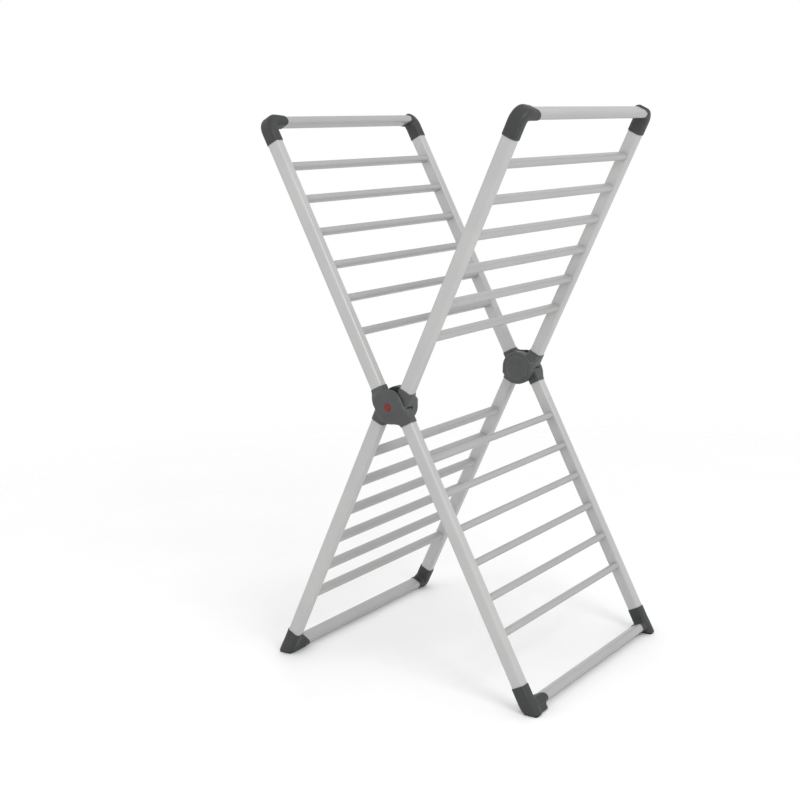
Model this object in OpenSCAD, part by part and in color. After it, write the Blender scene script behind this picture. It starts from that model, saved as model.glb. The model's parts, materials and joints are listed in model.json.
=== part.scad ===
// Folding X-shaped clothes drying rack.
// Two equal ladder frames cross at a pair of hubs and fold flat side by side.
// X runs across the X shape, Y along the rungs and Z up. The origin is on the
// floor, midway between the feet. Front is the -Y end and back is the +Y end.
// The outer frame has the hub plates on the outside: it leans to -X above the
// hubs. The inner frame has the hub plates between the rails and leans to +X.

/* [Frame] */
// Distance between the centre lines of a frame's two rails
rail_spacing = 520; // [440:10:600]
// Lean of each frame from the vertical when the rack stands open, in degrees
lean = 26.5; // [24:0.5:29]
// Distance along a frame from the hub axis to the axis of its top bar
hub_to_top_bar = 645; // [635:1:680]
// Distance along a frame from the hub axis to the axis of its foot bar
hub_to_foot_bar = 654; // [645:1:680]
// Sideways step of each rail from the hub axis, so that the frames fold side by side
rail_step = 17; // [17:0.5:18]

/* [Tubes] */
// Depth of the rails and bars, across the frame
tube_depth = 30; // [28:0.5:30]
// Width of the rails along the rungs
rail_width = 23; // [20:0.5:24]
// Height of the bars within the frame
bar_height = 18; // [17:0.5:20]
// Outer corner radius of the rails and bars
tube_corner = 7; // [5:0.5:7]
// Wall of the rails and bars
tube_wall = 1.4; // [1:0.1:2]

/* [Rungs] */
// Rungs in each half of a frame
rung_count = 6; // [4:1:6]
// Depth of a flat oval rung, across the frame
rung_depth = 22; // [18:0.5:22]
// Height of a rung within the frame
rung_height = 15; // [12:0.5:16]
// Wall of a rung
rung_wall = 1; // [0.8:0.1:1.5]
// Distance between neighbouring rungs
rung_pitch = 75; // [70:1:76]
// Distance from the hub axis to the first rung above it
first_upper_rung = 169; // [160:1:172]
// Distance from the hub axis to the first rung below it
first_lower_rung = 131; // [125:1:140]

/* [Corners and feet] */
// Wall of a moulded sleeve around a tube
sleeve_wall = 1.5; // [1.5:0.1:1.7]
// Length of a corner's rail sleeve, measured from the bar axis
corner_sleeve = 47; // [45:1:60]
// Length of a foot's rail sleeve, measured from the bar axis
foot_sleeve = 43; // [42:1:60]
// Reach of a front corner's half collar along the top bar, measured from the rail axis
top_collar = 54; // [50:1:80]
// Reach of a front foot's half collar along the foot bar, measured from the rail axis
foot_collar = 55; // [45:1:70]
// Reach of the short collars at the back, measured from the rail axis
back_collar = 30; // [29:1:44]
// Height of the foot bar axis above the floor
foot_drop = 16; // [16:1:24]
// How far a foot's toe stands out beyond its sleeve
toe_reach = 2.5; // [1:0.5:6]
// Thickness of the rubber pad under a foot
pad_thickness = 2; // [1.5:0.5:4]

/* [Hub] */
// Radius of the outer hub plate
outer_plate_r = 36; // [34:1:38]
// Radius of the inner hub plate
inner_plate_r = 38; // [36:1:40]
// Distance from the tube plane to the outer face of the outer plate
outer_face = 22; // [21:1:28]
// Distance from the tube plane to the inner face of the inner plate
inner_face = 33; // [31:1:36]
// Reach of the outer hub sockets along the rail
outer_socket = 48; // [46:1:56]
// Reach of the inner hub sockets along the rail
inner_socket = 48; // [46:1:54]
// Diameter of the pivot pin
pin_d = 12; // [10:1:12]

/* [Hidden] */
$fn = 64;
gap = 0.3;
rung_end_gap = 2;
fit = 0.15;
running = 0.05;

OUTER = 1;
INNER = -1;
FRONT = -1;
BACK = 1;

pivot_height = foot_drop + hub_to_foot_bar * cos(lean) - rail_step * sin(lean);
sleeve_depth = tube_depth + 2 * sleeve_wall;
sleeve_width = rail_width + 2 * sleeve_wall;
sleeve_height = bar_height + 2 * sleeve_wall;
sleeve_corner = tube_corner + sleeve_wall;
socket_floor = bar_height / 2 + 10;
rail_start = 24;
bar_end = rail_width / 2 + 4;
socket_start = 18;
plate_under = sleeve_width / 2 + gap;
elbow_r = 18.5;
elbow_inner_r = 14;
crown_height = 3.5;
pocket_r = bar_height / 2 + 0.2;
belly_reach = 36;
back_belly_reach = 22;
pad_length = 32;
pad_width = 20;
pad_corner = 5;
pad_offset = 1;
boss_r = 11;
washer = 1;
boss_top = plate_under - washer - 0.5;
lip_r = 31;
lip_gap = 0.8;
lip_sweep = 15;
head_r = 10;
cap_r = 7.8;
cap_recess = 3;
cover_r = 29.8;
cover_thickness = 2.2;
pin_recess = 12.5;
stop_r = 16.5;
stop_sweep = 24;
stop_angle = lean + stop_sweep + 2;

shell_grey = "#3f4346";
hub_grey = "#565a5a";
tube_grey = "#c9cac8";
rung_grey = "#b9bab8";
pad_black = "#232425";
cap_red = "#8c2f26";
steel_grey = "#9a9c9e";

function side_name(side) = side == OUTER ? "outer" : "inner";
function end_name(end) = end == FRONT ? "front" : "back";

SIDES = [OUTER, INNER];
ENDS = [FRONT, BACK];
RUNGS = [1 : rung_count];

// ---- placing ----

// Frame coordinates: Z along the frame with the hub axis at 0, X across the frame.
module in_frame(side) {
    translate([0, 0, pivot_height]) rotate([0, -side * lean, 0]) children();
}

// Hub coordinates: the tube plane at Y 0, with +Y pointing out of the rack.
module in_hub(side, end) {
    in_frame(side) translate([0, end * rail_spacing / 2, 0])
        mirror([0, end == FRONT ? 1 : 0, 0])
            children();
}

// Corner coordinates: the rail axis meets the bar axis at 0, the bar leaves
// along +Y, and +X is the face that the half collar covers.
module at_corner(side, end, rail_x, z) {
    in_frame(side) translate([rail_x, end * rail_spacing / 2, z])
        rotate([0, 0, end == FRONT ? 0 : 180])
            children();
}

function upper_x(side) = -side * rail_step;
function lower_x(side) = side * rail_step;
function reach(end, front_reach) = end == FRONT ? front_reach : back_collar;

// ---- profiles ----

module rounded_rect(x, y, r) {
    square([x - 2 * r, y], center = true);
    square([x, y - 2 * r], center = true);
    for (i = [-1, 1], j = [-1, 1]) translate([i * (x / 2 - r), j * (y / 2 - r)]) circle(r);
}

module rail_outline(grow = 0) {
    rounded_rect(tube_depth + 2 * grow, rail_width + 2 * grow, tube_corner + grow);
}

module bar_outline(grow = 0) {
    rounded_rect(tube_depth + 2 * grow, bar_height + 2 * grow, tube_corner + grow);
}

module rung_outline(grow = 0) {
    hull() for (i = [-1, 1]) translate([i * (rung_depth - rung_height) / 2, 0])
        circle(rung_height / 2 + grow);
}

module rail_sleeve_outline() {
    rail_outline(sleeve_wall);
}

// Turns a shape made along +Z so that it runs along +Y.
module along_y() {
    rotate([-90, 0, 0]) children();
}

// ---- tubes ----

// Rail that runs from the hub up (direction 1) or down (direction -1).
module rail(side, end, x, direction, hub_to_bar, first_rung) {
    length = hub_to_bar - socket_floor - fit - rail_start;
    low = direction > 0 ? rail_start : -rail_start - length;
    color(tube_grey) in_frame(side) translate([x, end * rail_spacing / 2, 0]) difference() {
        translate([0, 0, low]) linear_extrude(length) rail_outline();
        translate([0, 0, low - 1]) linear_extrude(length + 2) rail_outline(-tube_wall);
        for (i = RUNGS) {
            translate([0, 0, direction * (first_rung + (i - 1) * rung_pitch)])
                rotate([end * 90, 0, 0])
                    linear_extrude(rail_width) rung_outline(running);
        }
    }
}

module upper_rail(side, end) {
    rail(side, end, upper_x(side), 1, hub_to_top_bar, first_upper_rung);
}

module lower_rail(side, end) {
    rail(side, end, lower_x(side), -1, hub_to_foot_bar, first_lower_rung);
}

module rung(side, x, z) {
    length = rail_spacing + rail_width - 2 * tube_wall - 2 * rung_end_gap;
    color(rung_grey) in_frame(side) translate([x, -length / 2, z]) along_y() difference() {
        linear_extrude(length) rung_outline();
        translate([0, 0, -1]) linear_extrude(length + 2) rung_outline(-rung_wall);
    }
}

// Rungs are numbered from the hub outwards.
module upper_rung(side, i) {
    rung(side, upper_x(side), first_upper_rung + (i - 1) * rung_pitch);
}

module lower_rung(side, i) {
    rung(side, lower_x(side), -first_lower_rung - (i - 1) * rung_pitch);
}

module bar(side, x, z) {
    length = rail_spacing - 2 * bar_end;
    color(tube_grey) in_frame(side) translate([x, -length / 2, z]) along_y() difference() {
        linear_extrude(length) bar_outline();
        translate([0, 0, -1]) linear_extrude(length + 2) bar_outline(-tube_wall);
    }
}

module top_bar(side) {
    bar(side, upper_x(side), hub_to_top_bar);
}

module foot_bar(side) {
    bar(side, lower_x(side), -hub_to_foot_bar);
}

// ---- corners and feet ----

// The socket that a bar's end sits in, open on the -X face with a round end.
module bar_pocket(collar) {
    cut_depth = sleeve_depth / 2 + 6;
    translate([0, bar_end - fit, 0]) along_y() linear_extrude(collar) bar_outline(fit);
    translate([-sleeve_depth, 0, 0]) rotate([0, 90, 0]) {
        translate([0, bar_end + pocket_r, 0])
            cylinder(h = cut_depth, r = pocket_r);
        translate([-pocket_r, bar_end + pocket_r, 0])
            cube([2 * pocket_r, collar, cut_depth]);
        translate([-sleeve_height, bar_end + 3 * pocket_r / 2, 0])
            cube([2 * sleeve_height, collar, cut_depth]);
    }
}

// The plug inside a rail's end. It grows along +Z from the socket floor.
module rail_plug(length) {
    linear_extrude(length) rail_outline(-tube_wall - fit);
}

module collar(reach) {
    along_y() linear_extrude(reach) bar_outline(sleeve_wall);
}

// Moulded elbow between a rail and the top bar.
module corner(side, end) {
    collar_end = reach(end, top_collar);
    color(shell_grey) at_corner(side, end, upper_x(side), hub_to_top_bar) {
        difference() {
            union() {
                translate([0, 0, -corner_sleeve]) linear_extrude(corner_sleeve - elbow_r)
                    rail_sleeve_outline();
                translate([0, elbow_r, -elbow_r]) rotate([0, 90, 0]) rotate([0, 0, 180])
                    rotate_extrude(angle = 90) translate([elbow_r, 0]) rotate(90) rail_sleeve_outline();
                translate([0, elbow_r, 0]) collar(collar_end - elbow_r);
                elbow_web();
                elbow_crown(end == FRONT ? crown_height : 1.5, collar_end);
            }
            translate([0, 0, -corner_sleeve - 1]) linear_extrude(corner_sleeve + 1 - socket_floor)
                rail_outline(fit);
            bar_pocket(collar_end);
        }
        translate([0, 0, -corner_sleeve + 4]) rail_plug(corner_sleeve - 4 - socket_floor);
    }
}

// Fills the inside of the elbow to a larger radius.
module elbow_web() {
    y = sleeve_width / 2 + elbow_inner_r;
    z = sleeve_height / 2 + elbow_inner_r;
    difference() {
        translate([-9, 5, -z]) cube([18, y - 5, z - 5]);
        translate([-10, y, -z]) rotate([0, 90, 0]) cylinder(h = 20, r = elbow_inner_r);
    }
}

// Raised crown over the outside of the elbow. It slopes down to the collar's end.
module elbow_crown(height, collar_end) {
    top = sleeve_height / 2;
    translate([-9, 0, 0]) rotate([90, 0, 90]) linear_extrude(18)
        polygon([
            [-8, 0], [-8, 4], [2, top + height], [elbow_r - 4, top + height], [collar_end, top], [20, 0]
        ]);
}

// Moulded foot: a rail sleeve with an outward toe and a collar for the foot bar.
module foot(side, end) {
    collar_end = reach(end, foot_collar);
    color(shell_grey) intersection() {
        at_corner(side, end, lower_x(side), -hub_to_foot_bar) {
            difference() {
                union() {
                    translate([0, 0, -foot_drop * 2]) linear_extrude(foot_sleeve + foot_drop * 2)
                        rail_sleeve_outline();
                    translate([0, 5, 0]) collar(collar_end - 5);
                    belly(end == FRONT ? belly_reach : back_belly_reach);
                    toe(side * (end == FRONT ? 1 : -1));
                }
                translate([0, 0, socket_floor]) linear_extrude(foot_sleeve) rail_outline(fit);
                bar_pocket(collar_end);
            }
            translate([0, 0, socket_floor - 1]) rail_plug(foot_sleeve - socket_floor - 3);
        }
        translate([-600, -600, pad_thickness]) cube([1200, 1200, pivot_height]);
    }
}

// Belly that carries the foot down to the floor under the collar.
module belly(reach) {
    translate([-12, 0, 0]) rotate([90, 0, 90]) linear_extrude(24)
        polygon([[0, 0], [reach + 5, -6], [reach, -13], [reach - 3, -60], [0, -60]]);
}

// Wedge that widens the foot away from the other frame.
module toe(outward) {
    inside = outward * sleeve_depth / 2;
    outside = outward * (sleeve_depth / 2 + toe_reach);
    translate([0, 8, 0]) rotate([90, 0, 0]) linear_extrude(16)
        polygon([[0, 12], [inside, 12], [outside, -14], [outside, -60], [0, -60]]);
}

module foot_pads(side) {
    axis_x = hub_to_foot_bar * sin(lean) + rail_step * cos(lean) + foot_drop * tan(lean);
    color(pad_black) for (end = ENDS) {
        translate([side * (axis_x + pad_offset), end * rail_spacing / 2, 0])
            linear_extrude(pad_thickness) rounded_rect(pad_length, pad_width, pad_corner);
    }
}

// ---- hubs ----

// Socket arm of a hub plate in the frame's upper half. The arm spans the tube
// plane and rises to the plate on the +Y side.
module hub_arm(x, reach, height) {
    half = sleeve_width / 2;
    profile = [
        [socket_start, -half], [reach, -half], [reach, half + 1],
        [reach - 9, half + 3], [reach - 18, height], [socket_start, height]
    ];
    translate([x - sleeve_depth / 2, 0, 0]) rotate([90, 0, 90]) linear_extrude(sleeve_depth)
        polygon([for (p = profile) [p[1], p[0]]]);
}

module both_arms(x, reach, height) {
    hub_arm(x, reach, height);
    rotate([0, 180, 0]) hub_arm(x, reach, height);
}

module both_sockets(x) {
    for (turn = [0, 180]) rotate([0, turn, 0]) translate([x, 0, rail_start - fit])
        linear_extrude(outer_socket + 10) rail_outline(fit);
}

module both_plugs(x, reach) {
    for (turn = [0, 180]) rotate([0, turn, 0]) translate([x, 0, rail_start - 1])
        rail_plug(reach - rail_start - 2);
}

// Block of a ring around the hub axis, centred on an angle from +X towards +Z.
module stop_block(r1, r2, low, high, angle) {
    rotate([0, -angle, 0]) rotate([-90, 0, 0]) rotate([0, 0, -stop_sweep / 2]) translate([0, 0, low])
        rotate_extrude(angle = stop_sweep) translate([r1, 0]) square([r2 - r1, high - low]);
}

// Lips at the +X and -X sides of a hub. They close the space between the plates
// when the rack stands open.
module lips(side, radius, low, high) {
    start = side * (lean + lip_gap);
    for (turn = [0, 180]) rotate([0, turn, 0])
        rotate([0, start + (side == OUTER ? 0 : -lip_sweep), 0])
            rotate([-90, 0, 0]) translate([0, 0, low]) rotate_extrude(angle = lip_sweep)
                translate([lip_r, 0]) square([radius - lip_r, high - low]);
}

module outer_hub(end) {
    x = upper_x(OUTER);
    color(hub_grey) in_hub(OUTER, end) {
        difference() {
            union() {
                translate([0, plate_under, 0]) along_y()
                    cylinder(h = outer_face - plate_under, r = outer_plate_r);
                both_arms(x, outer_socket, outer_face);
                lips(OUTER, outer_plate_r, 1.3 - plate_under, plate_under + 1);
                for (a = [-stop_angle, stop_angle]) stop_block(boss_r + 0.5, stop_r, -10, plate_under + 1, a);
            }
            both_sockets(x);
            along_y() cylinder(h = outer_face + 1, r = pin_d / 2);
            translate([0, outer_face - cap_recess, 0]) along_y()
                cylinder(h = cap_recess + 1, r = cap_r + 0.2);
        }
        both_plugs(x, outer_socket);
    }
}

module inner_hub(end) {
    x = upper_x(INNER);
    color(hub_grey) in_hub(INNER, end) difference() {
        union() {
            difference() {
                mirror([0, 1, 0]) union() {
                    translate([0, plate_under, 0]) along_y()
                        cylinder(h = inner_face - plate_under, r = inner_plate_r);
                    both_arms(x, inner_socket, inner_face);
                    lips(INNER, inner_plate_r, 1.3 - plate_under, plate_under + 1);
                }
                both_sockets(x);
            }
            both_plugs(x, inner_socket);
            translate([0, -plate_under - 1, 0]) along_y() cylinder(h = plate_under + 1 + boss_top, r = boss_r);
            stop_block(boss_r - 1, stop_r, -plate_under - 1, 9, lean);
        }
        translate([0, -inner_face - 1, 0]) along_y() {
            cylinder(h = inner_face + plate_under, r = pin_d / 2 + running);
            cylinder(h = cover_thickness + 1, r = cover_r + 0.2);
            cylinder(h = pin_recess + 1, r = head_r + 2);
        }
    }
}

module inner_hub_covers() {
    color(hub_grey) for (end = ENDS) {
        in_hub(INNER, end) translate([0, -inner_face, 0])
            along_y() cylinder(h = cover_thickness, r = cover_r);
    }
}

module pivot_pin(end) {
    inside = -inner_face + 8;
    outside = outer_face - cap_recess;
    color(steel_grey) in_hub(OUTER, end) {
        translate([0, inside, 0]) along_y() cylinder(h = outside - inside, r = pin_d / 2);
        translate([0, outside, 0]) along_y() cylinder(h = 1.2, r = cap_r);
        translate([0, inside, 0]) along_y() cylinder(h = 4, r = head_r);
    }
}

module pivot_washers() {
    color(steel_grey) for (end = ENDS) {
        in_hub(OUTER, end) translate([0, plate_under - washer, 0]) along_y() difference() {
            cylinder(h = washer, r = boss_r);
            translate([0, 0, -1]) cylinder(h = 3, r = pin_d / 2 + running);
        }
    }
}

module pivot_caps() {
    color(cap_red) for (end = ENDS) {
        in_hub(OUTER, end) translate([0, outer_face - cap_recess + 1.2, 0])
            along_y() cylinder(h = 2.4, r = cap_r);
    }
}

// ---- output ----

for (side = SIDES) {
    top_bar(side);
    foot_bar(side);
    foot_pads(side);
    for (end = ENDS) {
        upper_rail(side, end);
        lower_rail(side, end);
        corner(side, end);
        foot(side, end);
    }
    for (i = RUNGS) {
        upper_rung(side, i);
        lower_rung(side, i);
    }
}
for (end = ENDS) {
    outer_hub(end);
    inner_hub(end);
    pivot_pin(end);
}
inner_hub_covers();
pivot_washers();
pivot_caps();
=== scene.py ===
"""Looks of the folding clothes drying rack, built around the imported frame.

Every place and size is read from the frame, in metres. The moulded pieces are
described as distance fields in millimetres, in the same local coordinates that
the design uses, and are turned into closed quad meshes here.
"""
import json
import math

import bpy
import numpy as np
from mathutils import Matrix, Vector


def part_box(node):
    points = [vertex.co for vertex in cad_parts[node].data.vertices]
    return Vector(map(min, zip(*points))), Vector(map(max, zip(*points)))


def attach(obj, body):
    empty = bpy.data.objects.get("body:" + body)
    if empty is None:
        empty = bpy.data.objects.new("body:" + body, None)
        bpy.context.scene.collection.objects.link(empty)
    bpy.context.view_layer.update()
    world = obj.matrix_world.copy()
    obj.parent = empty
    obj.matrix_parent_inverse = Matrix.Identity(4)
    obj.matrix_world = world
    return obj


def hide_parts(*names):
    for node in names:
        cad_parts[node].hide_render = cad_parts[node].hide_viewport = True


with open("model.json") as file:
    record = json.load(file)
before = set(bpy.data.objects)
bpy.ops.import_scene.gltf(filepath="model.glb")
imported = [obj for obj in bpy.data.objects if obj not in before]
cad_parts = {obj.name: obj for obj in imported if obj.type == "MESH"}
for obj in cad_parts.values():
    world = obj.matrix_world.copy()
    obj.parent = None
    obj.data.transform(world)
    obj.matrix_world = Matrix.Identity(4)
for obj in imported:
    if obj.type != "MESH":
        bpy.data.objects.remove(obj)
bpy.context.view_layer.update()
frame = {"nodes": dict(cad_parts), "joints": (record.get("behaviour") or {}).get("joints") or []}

MM = 0.001
ENDS = {"front": -1, "back": 1}
SIDES = {"outer": 1, "inner": -1}
NODES = frame["nodes"]

# ---------------------------------------------------------------- the frame's own sizes

HINGE = frame["joints"][0]
HUB_AXIS = Vector(HINGE["pos_m"])
LEAN = math.radians(max(HINGE["range_deg"], key=abs)) / 2


def frame_matrix(side):
    """Frame coordinates to the row frame: Z runs along the ladder frame, with the hub axis at 0."""
    return Matrix.Translation(HUB_AXIS) @ Matrix.Rotation(-SIDES[side] * LEAN, 4, "Y")


def local_box(node, matrix):
    """A CAD node's lowest and highest corners in other coordinates, in millimetres."""
    inverse = matrix.inverted()
    points = np.array([inverse @ v.co for v in NODES[node].data.vertices]) / MM
    return points.min(0), points.max(0)


RAIL_LOW, RAIL_HIGH = local_box("outer_upper_rail_back", frame_matrix("outer"))
RAIL = (RAIL_HIGH - RAIL_LOW)[:2]
RAIL_STEP = -(RAIL_LOW[0] + RAIL_HIGH[0]) / 2
RAIL_Y = (RAIL_LOW[1] + RAIL_HIGH[1]) / 2
RAIL_START = RAIL_LOW[2]
BAR_Z = {}
for name in ("top", "foot"):
    low, high = local_box(f"outer_{name}_bar", frame_matrix("outer"))
    BAR_Z[name] = (low[2] + high[2]) / 2
    BAR = (high - low)[[0, 2]]
    BAR_END = RAIL_Y - high[1]
FOOT_DROP = (frame_matrix("outer") @ Vector((RAIL_STEP * MM, 0, BAR_Z["foot"] * MM))).z / MM
PAD_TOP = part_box("outer_foot_pads")[1].z / MM
TUBE_CORNER = 7
WALL = 1.5
FIT = 0.15
RAIL_HALF, BAR_HALF = RAIL[1] / 2 + WALL, BAR[1] / 2 + WALL
SOCKET_FLOOR = BAR[1] / 2 + 10
ARM_START = 18
ELBOW_BEND = 18.5
WEB_R = 14
FRONT_BELLY = 38

STEP = 1.0
PAD_STEP = 0.7

# ---------------------------------------------------------------- the stage's sizes, in metres

FLOOR_R = 6
FLOOR_SIDES = 64
CAMERA_LENS = 60.135
CAMERA_FROM_HUBS = Vector((1.5605, -2.4042, 0.5407))
CAMERA_ANGLES = (35.763, 11.286, -1.688)


def corner_matrix(side, end, bar):
    """Corner coordinates: the rail axis meets the bar axis at 0 and the bar leaves along +Y."""
    x = SIDES[side] * RAIL_STEP * (1 if bar == "foot" else -1)
    place = Matrix.Translation(Vector((x, ENDS[end] * RAIL_Y, BAR_Z[bar])) * MM)
    turn = Matrix.Rotation(math.pi if end == "back" else 0, 4, "Z")
    return frame_matrix(side) @ place @ turn


def hub_matrix(side, end):
    """Hub coordinates: the tube plane is at Y 0 and +Y points out of the rack."""
    place = Matrix.Translation(Vector((0, ENDS[end] * RAIL_Y, 0)) * MM)
    return frame_matrix(side) @ place @ Matrix.Diagonal((1, ENDS[end], 1, 1))


# ---------------------------------------------------------------- distance fields

def rounded_rect(a, b, size_a, size_b, radius):
    qa = np.abs(a) - (size_a / 2 - radius)
    qb = np.abs(b) - (size_b / 2 - radius)
    outside = np.hypot(np.maximum(qa, 0), np.maximum(qb, 0))
    return outside + np.minimum(np.maximum(qa, qb), 0) - radius


def both(*fields, soft=0.0):
    """Intersection, with edges rounded to about the radius soft."""
    result = fields[0]
    for field in fields[1:]:
        if soft:
            a = np.maximum(result + soft, 0)
            b = np.maximum(field + soft, 0)
            result = np.minimum(-soft, np.maximum(result, field)) + np.hypot(a, b)
        else:
            result = np.maximum(result, field)
    return result


def blend(*fields, soft=0.0):
    """Union, with inside corners filled to about the radius soft."""
    result = fields[0]
    for field in fields[1:]:
        if soft:
            a = np.maximum(soft - result, 0)
            b = np.maximum(soft - field, 0)
            result = np.maximum(soft, np.minimum(result, field)) - np.hypot(a, b)
        else:
            result = np.minimum(result, field)
    return result


def cut(field, tool, soft=0.0):
    return both(field, -tool, soft=soft)


def slab(value, low, high):
    return np.maximum(low - value, value - high)


def surface_net(field, low, high, step):
    """A closed quad mesh of the field's zero surface, with its points moved onto the surface."""
    axes = [np.arange(low[i], high[i] + step, step) for i in range(3)]
    grid = np.meshgrid(*axes, indexing="ij")
    value = field(*grid)
    corners = [(i, j, k) for i in (0, 1) for j in (0, 1) for k in (0, 1)]
    n = [s - 1 for s in value.shape]

    def corner_value(c):
        return value[c[0]:c[0] + n[0], c[1]:c[1] + n[1], c[2]:c[2] + n[2]]

    total = np.zeros((*n, 3))
    count = np.zeros(n)
    for c in corners:
        for axis in range(3):
            if c[axis]:
                continue
            other = list(c)
            other[axis] = 1
            a, b = corner_value(c), corner_value(other)
            crossing = (a < 0) != (b < 0)
            t = np.where(crossing, a / np.where(crossing, a - b, 1), 0)
            for k in range(3):
                place = c[k] + (t if k == axis else 0)
                total[..., k] += np.where(crossing, place, 0)
            count += crossing
    used = count > 0
    index = np.full(n, -1)
    index[used] = np.arange(used.sum())
    cell = np.argwhere(used)
    points = np.array(low) + step * (cell + total[used] / count[used][:, None])
    faces = []
    for axis in range(3):
        u, v = (axis + 1) % 3, (axis + 2) % 3
        shift = [0, 0, 0]
        shift[axis] = 1
        first = value[:-1 if axis == 0 else None,
                      :-1 if axis == 1 else None,
                      :-1 if axis == 2 else None]
        second = value[shift[0]:, shift[1]:, shift[2]:]
        edges = np.argwhere((first < 0) != (second < 0))
        edges = edges[(edges[:, u] > 0) & (edges[:, v] > 0)]
        step_u, step_v = np.zeros(3, int), np.zeros(3, int)
        step_u[u], step_v[v] = 1, 1
        ring = [edges, edges - step_u, edges - step_u - step_v, edges - step_v]
        quads = np.stack([index[tuple(r.T)] for r in ring], axis=1)
        outward = first[tuple(edges.T)] < 0
        quads[~outward] = quads[~outward][:, ::-1]
        faces.append(quads)
    for _ in range(4):
        here = field(*points.T)
        slope = np.stack([
            field(*(points + np.eye(3)[k] * 0.02).T) - field(*(points - np.eye(3)[k] * 0.02).T)
            for k in range(3)], axis=1) / 0.04
        size = np.maximum((slope ** 2).sum(1), 0.25)
        move = slope * (here / size)[:, None]
        points -= np.clip(move, -step / 2, step / 2)
    return points, np.concatenate(faces)


def smooth(value, low, high):
    """0 below low, 1 above high, and an S-shaped rise between them."""
    t = np.clip((value - low) / (high - low), 0, 1)
    return t * t * (3 - 2 * t)


def around(tube, a, b, grow, rise=0):
    """Section that stands out from a tube's own by grow, and by rise more on the +b side."""
    return rounded_rect(a, b - rise / 2, tube[0] + 2 * grow, tube[1] + 2 * grow + rise,
                        TUBE_CORNER + grow)


def cut_bar_pocket(body, x, y, z):
    """Cuts the bar's bore and the round-ended window that leaves the bar's -X face open."""
    radius = BAR[1] / 2 + 0.2
    start = BAR_END + radius
    window = np.minimum(np.hypot(y - start, z) - radius, np.maximum(np.abs(z) - radius, start - y))
    window = np.minimum(window, BAR_END + 1.5 * radius - y)
    body = cut(body, both(around(BAR, x, z, FIT), BAR_END - FIT - y), soft=0.3)
    return cut(body, both(window, x + BAR[0] / 2 - 4.5), soft=0.8)


def collar_end(y, z, reach):
    """The slanted, rounded end of a half collar."""
    z = np.maximum(z, -13)
    return y - (reach - 0.035 * z ** 2 - 0.25 * (z + BAR_HALF))


def corner_field(reach, length, crown):
    """An elbow from the rail's section to the bar's, with a raised crown and an inside web."""
    bend = ELBOW_BEND
    web_y, web_z = RAIL_HALF + WEB_R, BAR_HALF + WEB_R

    def field(x, y, z):
        in_bend = (y < bend) & (z > -bend)
        offset = np.where(in_bend, np.hypot(y - bend, z + bend) - bend, np.maximum(-y, z))
        angle = np.where(z < -bend, 0, np.arctan2(z + bend, np.maximum(bend - y, 0)))
        turned = smooth(angle, 0.2, 1.1)
        fading = 1 - smooth(y, bend - 6, reach + 6)
        half_out = RAIL_HALF + turned * (BAR_HALF + crown * fading - RAIL_HALF)
        half_in = RAIL_HALF + turned * (BAR_HALF - RAIL_HALF)
        body = rounded_rect(x, offset - (half_out - half_in) / 2,
                            RAIL[0] + 2 * WALL, half_out + half_in, TUBE_CORNER + WALL)
        hollow = WEB_R - np.hypot(y - web_y, z + web_z)
        web = np.maximum.reduce([5 - y, z + 5, y - web_y, -web_z - z, hollow])
        body = blend(body, both(np.abs(x) - 9, web, soft=3), soft=4)
        body = both(body, -length - z, soft=1)
        body = both(body, collar_end(y, z, reach), soft=1.5)
        body = cut(body, both(around(RAIL, x, y, FIT), z + SOCKET_FLOOR), soft=0.3)
        return cut_bar_pocket(body, x, y, z)

    return field


def foot_field(tilt, reach, length, toe, belly):
    """A foot. Tilt is the sign of the X direction that points away from the other frame.

    A foot with a belly has a half collar over the bar. One without has a closed collar.
    """
    def field(x, y, z):
        height = FOOT_DROP + tilt * x * math.sin(LEAN) + z * math.cos(LEAN)
        flare = toe * smooth(-z, -14, 12)
        corner = TUBE_CORNER + WALL + 3.5 * smooth(-z, -8, 10)
        body = rounded_rect(x - tilt * flare / 2, y,
                            RAIL[0] + 2 * WALL + flare, 2 * RAIL_HALF, corner)
        body = both(body, z - length, soft=1)
        collar = both(around(BAR, x, z, WALL), 5 - y, soft=1)
        if belly:
            collar = both(collar, collar_end(y, z, reach), soft=1.5)
            edge = np.interp(z, (-13, -6, 0), (belly, belly + 3, belly + 4))
            under = both(np.abs(x) - RAIL[0] / 2 - WALL, np.maximum(y - edge, -y), z + 3, soft=3)
            collar = blend(collar, under, soft=5)
        else:
            collar = both(collar, y - reach, soft=1)
        body = blend(body, collar, soft=5)
        body = both(body, PAD_TOP - height, soft=4)
        body = both(body, -tilt * x - RAIL[0] / 2 - WALL, soft=0.5)
        body = cut(body, both(around(RAIL, x, y, FIT), SOCKET_FLOOR - z), soft=0.3)
        if belly:
            return cut_bar_pocket(body, x, y, z)
        return cut(body, both(around(BAR, x, z, FIT), BAR_END - FIT - y), soft=0.3)

    return field


PLATE_UNDER = RAIL_HALF + 0.3
BOSS_R = 11
BOSS_TOP = PLATE_UNDER - 1.5
STOP_R = 16.5
STOP_SWEEP = math.radians(24)
LIP_R = 31
LIP_SWEEP = math.radians(15)
LIP_ANGLE = LEAN + math.radians(0.8) + LIP_SWEEP / 2
PIN_R = 6


def socket_arms(x, y, z, step, reach, face):
    """The two sleeves that hold the rails, each rising to the plate's face at its inner end."""
    side = np.where(z > 0, step, -step)
    along = np.abs(z)
    rise = (face - RAIL_HALF) * (1 - smooth(along, reach - 22, reach - 3))
    arm = around(RAIL, x - side, y, WALL, rise=rise)
    return both(both(arm, along - reach, soft=1), ARM_START - along, soft=1.5)


def cut_sockets(body, x, y, z, step):
    side = np.where(z > 0, step, -step)
    return cut(body, both(around(RAIL, x - side, y, FIT), RAIL_START - FIT - np.abs(z)), soft=0.3)


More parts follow.
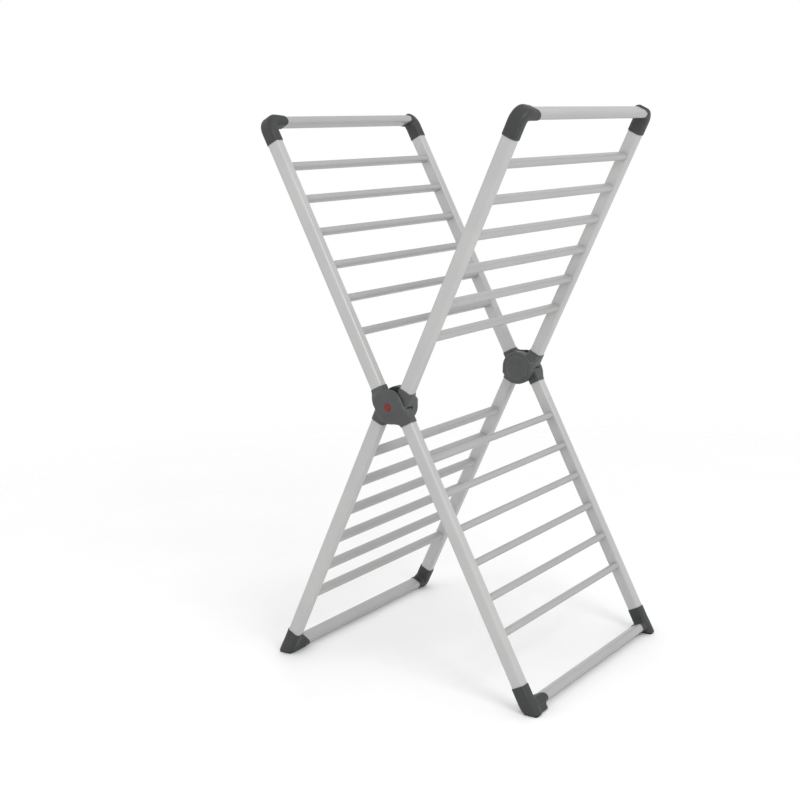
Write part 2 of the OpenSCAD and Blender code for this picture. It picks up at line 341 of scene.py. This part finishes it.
def clear_beside_arms(body, x, y, z, step):
    """Cuts the room under a hub's plate where the other hub's arms lie when folded."""
    beside = np.where(z > 0, x, -x) * np.sign(step) - 0.3
    return cut(body, both(both(beside, 14 - np.abs(z)), y - PLATE_UNDER), soft=0.3)


def ring_part(x, y, z, radii, heights, middle, sweep):
    """Part of a ring round the hub axis, centred on an angle from +X towards +Z."""
    radius = np.hypot(x, z)
    away = np.abs((np.arctan2(z, x) - middle + math.pi) % (2 * math.pi) - math.pi)
    sector = radius * np.sin(np.clip(away - sweep / 2, -1.5, 1.5))
    return both(both(slab(radius, *radii), slab(y, *heights), soft=0.6), sector, soft=0.6)


def add_lips(body, x, y, z, radius, turn):
    """Lips at both sides of a hub that close the space between the plates."""
    for middle in (turn * LIP_ANGLE, turn * LIP_ANGLE + math.pi):
        lip = ring_part(x, y, z, (LIP_R, radius), (1.3 - PLATE_UNDER, PLATE_UNDER + 1),
                        middle, LIP_SWEEP)
        body = blend(body, lip, soft=0.8)
    return body


def outer_hub_field(face, radius, reach):
    def field(x, y, z):
        r = np.hypot(x, z)
        dome = 1.2 * (r / radius) ** 2
        plate = both(r - radius, PLATE_UNDER - y, soft=1)
        body = blend(plate, socket_arms(x, y, z, -RAIL_STEP, reach, face), soft=12)
        body = both(both(body, np.abs(x) - radius, soft=3), y - face + dome, soft=6.5)
        body = both(body, np.abs(z) - reach, soft=1)
        body = cut(body, both(r - 17.5, y - PLATE_UNDER), soft=0.5)
        body = clear_beside_arms(body, x, y, z, -RAIL_STEP)
        body = add_lips(body, x, y, z, radius, -1)
        angle = LEAN + STOP_SWEEP + math.radians(2)
        for middle in (-angle, angle):
            block = ring_part(x, y, z, (BOSS_R + 0.5, STOP_R), (-10, PLATE_UNDER + 1),
                              middle, STOP_SWEEP)
            body = blend(body, block, soft=0.5)
        body = cut_sockets(body, x, y, z, -RAIL_STEP)
        body = cut(body, r - PIN_R)
        return cut(body, both(r - 8, face - 3 - y), soft=0.5)

    return field


def inner_hub_field(face, radius, reach):
    def field(x, y, z):
        r = np.hypot(x, z)
        ribs = 0.45 * (0.5 + 0.5 * np.cos(60 * np.arctan2(z, x)))
        ribbed = ribs * smooth(y, -face + 3, -face + 5)
        plate = both(r - radius + ribbed, -face - y, soft=2.5)
        plate = both(plate, y + PLATE_UNDER, soft=1)
        arms = socket_arms(x, -y, z, RAIL_STEP, reach, face - 1)
        body = both(blend(plate, arms, soft=4), -face - y, soft=1)
        body = clear_beside_arms(body, x, -y, z, RAIL_STEP)
        body = add_lips(body, x, -y, z, radius - ribbed, 1)
        body = cut_sockets(body, x, y, z, RAIL_STEP)
        boss = both(r - BOSS_R, slab(y, -PLATE_UNDER - 1, BOSS_TOP), soft=0.6)
        body = blend(body, boss, soft=1.5)
        block = ring_part(x, y, z, (BOSS_R - 1, STOP_R), (-PLATE_UNDER - 1, 9), LEAN, STOP_SWEEP)
        body = blend(body, block, soft=0.8)
        body = cut(body, r - PIN_R)
        body = cut(body, both(r - 30, y + face - 2.2), soft=0.3)
        return cut(body, both(r - 12, y + face - 12.5), soft=0.3)

    return field


def pad_field(length, width):
    """A rubber foot pad with grooves across its sole."""
    def field(x, y, z):
        body = both(rounded_rect(x, y, length, width, 5), z - PAD_TOP, soft=0.4)
        body = both(body, -z, soft=1)
        groove = np.hypot((x + 3.5) % 7 - 3.5, z) - 0.8
        return cut(body, both(groove, np.abs(x) - length / 2 + 3), soft=0.2)

    return field


def lathe(profile, segments=72):
    """A closed mesh turned round the Y axis from points (radius, y). Both ends are on the axis."""
    ring = np.linspace(0, 2 * math.pi, segments, endpoint=False)
    points = [(0, profile[0][1], 0)]
    for radius, y in profile[1:-1]:
        points += [(radius * math.cos(a), y, radius * math.sin(a)) for a in ring]
    points.append((0, profile[-1][1], 0))
    last = len(points) - 1
    faces = []
    for i in range(segments):
        j = (i + 1) % segments
        faces.append((0, 1 + i, 1 + j))
        for k in range(len(profile) - 3):
            a = 1 + k * segments
            faces.append((a + i, a + segments + i, a + segments + j, a + j))
        a = last - segments
        faces.append((a + i, last, a + j))
    return np.array(points, float), faces


def mesh_piece(name, parts, body, material, nodes, sharp=None):
    """A piece that replaces CAD nodes. Each part is a closed mesh in millimetres and its matrix."""
    points, faces = [], []
    for (part_points, part_faces), matrix in parts:
        start = len(points)
        flip = matrix.determinant() < 0
        points += [matrix @ Vector(p) for p in part_points * MM]
        for face in part_faces:
            face = [start + int(i) for i in face]
            faces.append(face[::-1] if flip else face)
    mesh = bpy.data.meshes.new(name)
    mesh.from_pydata(points, [], faces)
    mesh.polygons.foreach_set("use_smooth", [True] * len(mesh.polygons))
    if sharp:
        mesh.set_sharp_from_angle(angle=math.radians(sharp))
    mesh.materials.append(material)
    piece = bpy.data.objects.new(name, mesh)
    bpy.context.scene.collection.objects.link(piece)
    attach(piece, body)
    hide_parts(*nodes)
    return piece


# ---------------------------------------------------------------- materials

class Paint:
    """A material and a short way to add nodes to it."""

    def __init__(self, name, **settings):
        self.material = bpy.data.materials.new(name)
        self.material.use_nodes = True
        self.tree = self.material.node_tree
        self.shader = self.tree.nodes["Principled BSDF"]
        for key, value in settings.items():
            self.shader.inputs[key.replace("_", " ")].default_value = value
        self.place = self.add("ShaderNodeTexCoord").outputs["Object"]

    def add(self, kind, links=(), **values):
        """A node, with values for its inputs or settings and links to other nodes' outputs."""
        node = self.tree.nodes.new(kind)
        for key, value in values.items():
            if hasattr(node, key):
                setattr(node, key, value)
            else:
                node.inputs[key.replace("_", " ")].default_value = value
        for socket, output in dict(links).items():
            self.tree.links.new(output, node.inputs[socket])
        return node

    def stretched(self, scale, turn=(0, 0, 0)):
        """Object coordinates turned and then scaled."""
        turned = self.add("ShaderNodeMapping", {"Vector": self.place},
                          vector_type="POINT", Rotation=turn)
        scaled = self.add("ShaderNodeMapping", {"Vector": turned.outputs[0]},
                          vector_type="POINT", Scale=scale)
        return scaled.outputs[0]

    def noise(self, scale, vector=None, detail=3.0, roughness=0.5):
        links = {"Vector": vector or self.place}
        node = self.add("ShaderNodeTexNoise", links,
                        Scale=scale, Detail=detail, Roughness=roughness)
        return node.outputs[0]

    def span(self, value, low, high, out_low=0.0, out_high=1.0):
        """Maps value from low..high to out_low..out_high, clamped."""
        links = {"Value": value}
        node = self.add("ShaderNodeMapRange", links, clamp=True)
        for i, number in enumerate((low, high, out_low, out_high)):
            node.inputs[1 + i].default_value = number
        return node.outputs[0]

    def math(self, operation, a, b):
        node = self.add("ShaderNodeMath", operation=operation)
        for i, value in enumerate((a, b)):
            if isinstance(value, (int, float)):
                node.inputs[i].default_value = value
            else:
                self.tree.links.new(value, node.inputs[i])
        return node.outputs[0]

    def mix(self, factor, a, b):
        """A colour between a and b. Each is a colour or another node's output."""
        node = self.add("ShaderNodeMix", {"Factor": factor}, data_type="RGBA")
        for i, value in ((6, a), (7, b)):
            if isinstance(value, tuple):
                node.inputs[i].default_value = (*value, 1)
            else:
                self.tree.links.new(value, node.inputs[i])
        return node.outputs[2]

    def finish(self, color, roughness, height, distance):
        link = self.tree.links.new
        link(color, self.shader.inputs["Base Color"])
        link(roughness, self.shader.inputs["Roughness"])
        bump = self.add("ShaderNodeBump", {"Height": height}, Distance=distance, Strength=1.0)
        link(bump.outputs[0], self.shader.inputs["Normal"])
        return self.material


def grey(level, warm=0.0):
    return (level * (1 + warm), level, level * (1 - warm))


def tube_paint(name, level, turn, along):
    """Satin powder coat on a drawn tube: cloudy tone, faint lines along it and a few scuffs."""
    paint = Paint(name, Metallic=0.1, Coat_Weight=0.12, Coat_Roughness=0.22, Specular_IOR_Level=0.5)
    long_scale = [1, 1, 1]
    long_scale[along] = 0.012
    lines = paint.noise(1300, paint.stretched(tuple(long_scale), turn), detail=2)
    clouds = paint.noise(7, detail=4)
    peel = paint.noise(1100, detail=1)
    long_scale[along] = 0.18
    scuffs = paint.noise(170, paint.stretched(tuple(long_scale), turn), detail=6, roughness=0.65)
    worn = paint.math("MULTIPLY", paint.span(scuffs, 0.63, 0.72),
                      paint.span(paint.noise(12), 0.5, 0.62))
    tone = paint.mix(paint.span(clouds, 0.35, 0.65),
                     grey(level * 0.955, 0.003), grey(level * 1.03, 0.006))
    tone = paint.mix(paint.span(lines, 0.3, 0.7, 0, 0.09), tone, grey(level * 0.8))
    tone = paint.mix(paint.math("MULTIPLY", worn, 0.35), tone, grey(level * 0.62))
    rough = paint.math("ADD", paint.span(lines, 0.3, 0.7, 0.33, 0.40),
                       paint.span(clouds, 0.3, 0.7, 0, 0.07))
    rough = paint.math("ADD", rough, paint.math("MULTIPLY", worn, 0.2))
    height = paint.math("ADD", paint.math("MULTIPLY", peel, 0.7),
                        paint.math("MULTIPLY", lines, 0.35))
    return paint.finish(tone, rough, height, 0.00004)


def moulded_paint(name, level, cool, roughness):
    """Matt moulded plastic: a fine spark texture, mottled tone, and convex edges painted lighter,
    partly as rubbed wear and partly as a painted highlight.
    """
    paint = Paint(name, Specular_IOR_Level=0.42)
    grain = paint.noise(2600, detail=2)
    pits = paint.add("ShaderNodeTexVoronoi", {"Vector": paint.place}, Scale=1500.0).outputs[0]
    clouds = paint.noise(30, detail=5, roughness=0.6)
    fine = paint.noise(420, detail=3)
    edge = paint.span(paint.add("ShaderNodeNewGeometry").outputs["Pointiness"], 0.515, 0.58)
    # Patchy mask on convex edges: partly rubbed wear, partly a painted highlight on the rounded
    # edges.
    edge_highlight_and_wear = paint.math("MULTIPLY", edge, paint.span(clouds, 0.35, 0.6, 0.35, 1))
    dark = (level * 0.86, level * (0.86 + cool), level * (0.86 + 1.6 * cool))
    light = (level * 1.12, level * (1.12 + cool), level * (1.12 + 1.6 * cool))
    tone = paint.mix(paint.span(clouds, 0.3, 0.7), dark, light)
    tone = paint.mix(paint.span(fine, 0.3, 0.7, 0, 0.35), tone, grey(level * 1.35))
    # Convex edges painted up to 2.6 times lighter: a painted highlight mixed with rubbed wear.
    tone = paint.mix(paint.math("MULTIPLY", edge_highlight_and_wear, 0.55), tone, grey(level * 2.6))
    rough = paint.math("ADD", paint.span(clouds, 0.3, 0.7, roughness - 0.05, roughness + 0.06),
                       paint.math("MULTIPLY", edge_highlight_and_wear, -0.1))
    height = paint.math("ADD", paint.math("MULTIPLY", grain, 0.6),
                        paint.math("MULTIPLY", pits, 0.5))
    return paint.finish(tone, rough, height, 0.00009)


def rubber_paint():
    paint = Paint("foot_rubber", Specular_IOR_Level=0.3)
    clouds = paint.noise(45, detail=5)
    grain = paint.noise(1500, detail=4)
    tone = paint.mix(paint.span(clouds, 0.35, 0.65), grey(0.012), grey(0.024))
    tone = paint.mix(paint.span(grain, 0.5, 0.75, 0, 0.4), tone, grey(0.045))
    return paint.finish(tone, paint.span(clouds, 0.3, 0.7, 0.72, 0.9), grain, 0.00012)


def cap_paint():
    paint = Paint("cap_red", Specular_IOR_Level=0.3)
    clouds = paint.noise(160, detail=4)
    grain = paint.noise(2200, detail=2)
    tone = paint.mix(paint.span(clouds, 0.3, 0.7), (0.15, 0.010, 0.007), (0.21, 0.016, 0.010))
    return paint.finish(tone, paint.span(clouds, 0.3, 0.7, 0.36, 0.48), grain, 0.00003)


def metal_paint(name, level, metallic, roughness):
    """Turned steel or natural nylon: rings round the pin and a mottled tone."""
    paint = Paint(name, Metallic=metallic)
    clouds = paint.noise(90, detail=5)
    rings = paint.noise(1500, paint.stretched((0.02, 1, 0.02)), detail=2)
    tone = paint.mix(paint.span(clouds, 0.3, 0.7), grey(level * 0.85, 0.01), grey(level * 1.1, 0.01))
    rough = paint.span(rings, 0.3, 0.7, roughness - 0.07, roughness + 0.1)
    return paint.finish(tone, rough, rings, 0.00003)


def floor_paint():
    """Pale floor that fades into the white surroundings."""
    paint = Paint("floor", Roughness=0.55, Specular_IOR_Level=0.25)
    clouds = paint.noise(2.5, detail=3)
    grain = paint.noise(300, detail=2)
    tone = paint.mix(paint.span(clouds, 0.3, 0.7), grey(0.90), grey(0.93))
    length = paint.add("ShaderNodeVectorMath", {0: paint.place}, operation="LENGTH")
    opacity = paint.span(length.outputs["Value"], 0.9, 2.6, 1, 0)
    paint.tree.links.new(opacity, paint.shader.inputs["Alpha"])
    return paint.finish(tone, paint.span(clouds, 0.3, 0.7, 0.5, 0.6), grain, 0.00002)


# ---------------------------------------------------------------- pieces

def build_pieces():
    plastic = moulded_paint("corner_plastic", 0.027, 0.06, 0.52)
    hub_plastic = moulded_paint("hub_plastic", 0.052, 0.03, 0.40)
    rubber = rubber_paint()
    red = cap_paint()
    steel = metal_paint("pivot_steel", 0.55, 1.0, 0.3)
    nylon = metal_paint("washer_nylon", 0.6, 0.0, 0.45)

    shapes = {}
    for side in SIDES:
        for end in ENDS:
            body = f"{side}_frame"
            node = f"{side}_corner_{end}"
            matrix = corner_matrix(side, end, "top")
            low, high = local_box(node, matrix)
            key = ("corner", end)
            if key not in shapes:
                crown = high[2] - BAR_HALF
                field = corner_field(high[1], -low[2], crown)
                shapes[key] = surface_net(field, low - 2, high + 2, STEP)
            mesh_piece(f"{node}_moulding", [(shapes[key], matrix)], body,
                       plastic, [node])

            node = f"{side}_foot_{end}"
            matrix = corner_matrix(side, end, "foot")
            low, high = local_box(node, matrix)
            tilt = SIDES[side] * -ENDS[end]
            toe = (high[0] if tilt > 0 else -low[0]) - RAIL[0] / 2 - WALL
            belly = FRONT_BELLY if end == "front" else 0
            field = foot_field(tilt, high[1], high[2], toe, belly)
            shape = surface_net(field, low - 2, high + 2, STEP)
            mesh_piece(f"{node}_moulding", [(shape, matrix)], body,
                       plastic, [node])

    for side, make in (("outer", outer_hub_field), ("inner", inner_hub_field)):
        low, high = local_box(f"{side}_hub_front", hub_matrix(side, "front"))
        face = high[1] if side == "outer" else -low[1]
        shape = surface_net(make(face, high[0], high[2]), low - 2, high + 2, STEP)
        for end in ENDS:
            node = f"{side}_hub_{end}"
            mesh_piece(f"{node}_moulding", [(shape, hub_matrix(side, end))], f"{side}_frame",
                       hub_plastic, [node])
        if side == "outer":
            cap = [(0, face - 1.8), (7.5, face - 1.8), (7.8, face - 1.5), (7.8, face - 0.4),
                   (7.5, face + 0.05), (6.9, face + 0.3), (5, face + 0.5), (2.5, face + 0.58),
                   (0, face + 0.6)]
            parts = [(lathe(cap), hub_matrix(side, end)) for end in ENDS]
            mesh_piece("pivot_caps_domed", parts, "outer_frame", red, ["pivot_caps"],
                       sharp=50)
        else:
            cover = [(0, -face + 0.6), (8, -face + 0.6), (22, -face + 0.25), (29.3, -face),
                     (29.8, -face + 0.4), (29.8, -face + 2.2), (0, -face + 2.2)]
            parts = [(lathe(cover), hub_matrix(side, end)) for end in ENDS]
            mesh_piece("inner_hub_covers_dished", parts, "inner_frame", hub_plastic,
                       ["inner_hub_covers"], sharp=40)

    low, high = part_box("outer_foot_pads")
    length, width = (high.x - low.x) / MM, (high.y - low.y) / MM - 2 * RAIL_Y
    corner = np.array((length / 2 + 2, width / 2 + 2, PAD_TOP + 2))
    pad = surface_net(pad_field(length, width), corner * (-1, -1, 0) - (0, 0, 2), corner, PAD_STEP)
    for side in SIDES:
        low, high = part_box(f"{side}_foot_pads")
        middle = (low.x + high.x) / 2
        parts = [(pad, Matrix.Translation((middle, ENDS[end] * RAIL_Y * MM, 0))) for end in ENDS]
        mesh_piece(f"{side}_foot_pads_grooved", parts, f"{side}_frame", rubber,
                   [f"{side}_foot_pads"])

    for side in SIDES:
        turn = (0, SIDES[side] * LEAN, 0)
        rail = tube_paint(f"{side}_rail_paint", 0.43, turn, 2)
        for name, node in NODES.items():
            if name.startswith(f"{side}_") and "rail" in name:
                dress(node, rail)
    bar = tube_paint("bar_paint", 0.365, (0, 0, 0), 1)
    rung = tube_paint("rung_paint", 0.36, (0, 0, 0), 1)
    for name, node in NODES.items():
        if name.endswith("_bar"):
            dress(node, bar)
        elif "rung" in name:
            dress(node, rung)
        elif name.startswith("pivot_pin"):
            dress(node, steel)
        elif name == "pivot_washers":
            dress(node, nylon)


def dress(node, material):
    """Gives a CAD node that stays in sight its material and smooth shading."""
    node.data.materials.clear()
    node.data.materials.append(material)
    node.data.polygons.foreach_set("use_smooth", [True] * len(node.data.polygons))
    node.data.set_sharp_from_angle(angle=math.radians(35))


# ---------------------------------------------------------------- stage and camera

def look(azimuth, pitch, roll):
    """A camera rotation from its azimuth round the object, downward pitch and roll, in degrees."""
    a, p, r = (math.radians(v) for v in (azimuth, pitch, roll))
    forward = Vector((-math.sin(a) * math.cos(p), math.cos(a) * math.cos(p), -math.sin(p)))
    right = Vector((math.cos(a), math.sin(a), 0))
    up = right.cross(forward)
    right, up = math.cos(r) * right + math.sin(r) * up, math.cos(r) * up - math.sin(r) * right
    return Matrix((right, up, -forward)).transposed().to_4x4()


def make_camera():
    data = bpy.data.cameras.new("camera")
    data.sensor_width = 36
    data.lens = CAMERA_LENS
    camera = bpy.data.objects.new("camera", data)
    place = HUB_AXIS + CAMERA_FROM_HUBS
    camera.matrix_world = Matrix.Translation(place) @ look(*CAMERA_ANGLES)
    bpy.context.scene.collection.objects.link(camera)
    bpy.context.scene.camera = camera


def make_light(name, place, size, power):
    """A soft square light that faces the rack's hubs."""
    data = bpy.data.lights.new(name, "AREA")
    data.size = size
    data.energy = power
    light = bpy.data.objects.new(name, data)
    light.location = place
    light.rotation_euler = (HUB_AXIS - light.location).to_track_quat("-Z", "Y").to_euler()
    bpy.context.scene.collection.objects.link(light)


def make_stage():
    turns = np.linspace(0, 2 * math.pi, FLOOR_SIDES, endpoint=False)
    ring = [(FLOOR_R * math.cos(a), FLOOR_R * math.sin(a), 0) for a in turns]
    mesh = bpy.data.meshes.new("floor")
    mesh.from_pydata(ring, [], [range(FLOOR_SIDES)])
    mesh.materials.append(floor_paint())
    floor = bpy.data.objects.new("floor", mesh)
    bpy.context.scene.collection.objects.link(floor)

    world = bpy.data.worlds.new("studio")
    world.use_nodes = True
    world.node_tree.nodes["Background"].inputs["Color"].default_value = (1, 1, 1, 1)
    world.node_tree.nodes["Background"].inputs["Strength"].default_value = 1.0
    bpy.context.scene.world = world
    bpy.context.scene.view_settings.view_transform = "Standard"
    make_light("key", Vector((2.4, -1.2, 2.4)), 1.2, 34)
    make_light("fill", Vector((-2.6, -2.6, 1.6)), 2.5, 9)


build_pieces()
make_stage()
make_camera()
